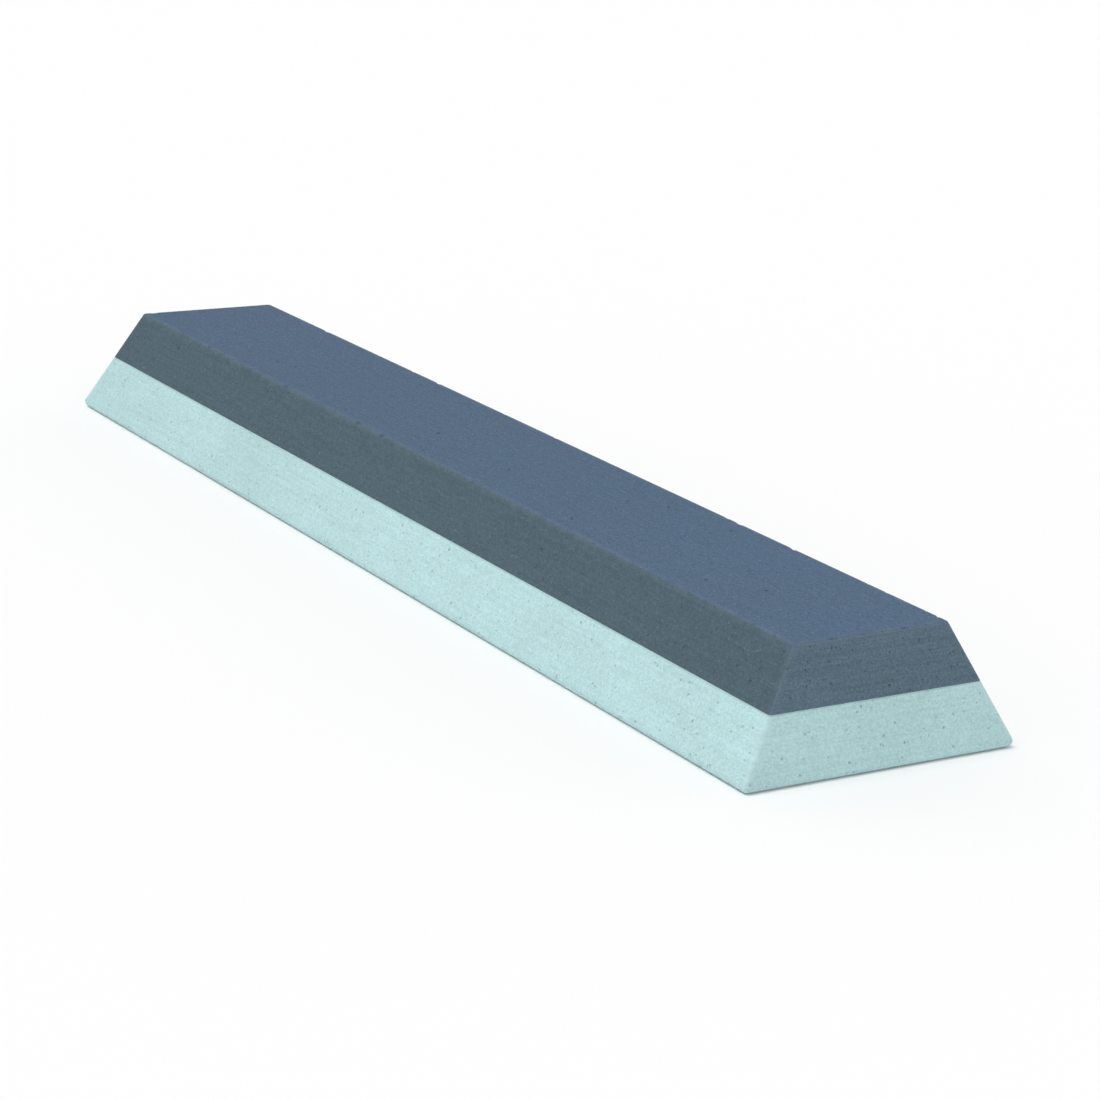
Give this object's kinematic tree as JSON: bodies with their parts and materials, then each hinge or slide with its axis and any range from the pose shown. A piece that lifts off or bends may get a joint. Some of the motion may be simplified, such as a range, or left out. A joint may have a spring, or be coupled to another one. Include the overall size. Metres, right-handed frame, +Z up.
{
  "type": "sharpening whetstone",
  "caption": "Long two-layer sharpening stone with sloping flanks: a dark honing slab glued to a pale base slab, for edging carving knives.",
  "frame": {"origin": "centre of the base's rectangle, on the plane that the stone rests on", "axes": "+X along the stone's length, +Y across its width, +Z up from the base towards the narrower honing face"},
  "size_m": [0.1994, 0.0418, 0.0167],
  "materials": {
    "pale_abrasive": "matte",
    "glue": "satin",
    "dark_abrasive": "matte"
  },
  "bodies": {
    "root": {"lower_stone": "pale_abrasive", "bond_film": "glue", "upper_stone": "dark_abrasive"}
  },
  "joints": []
}
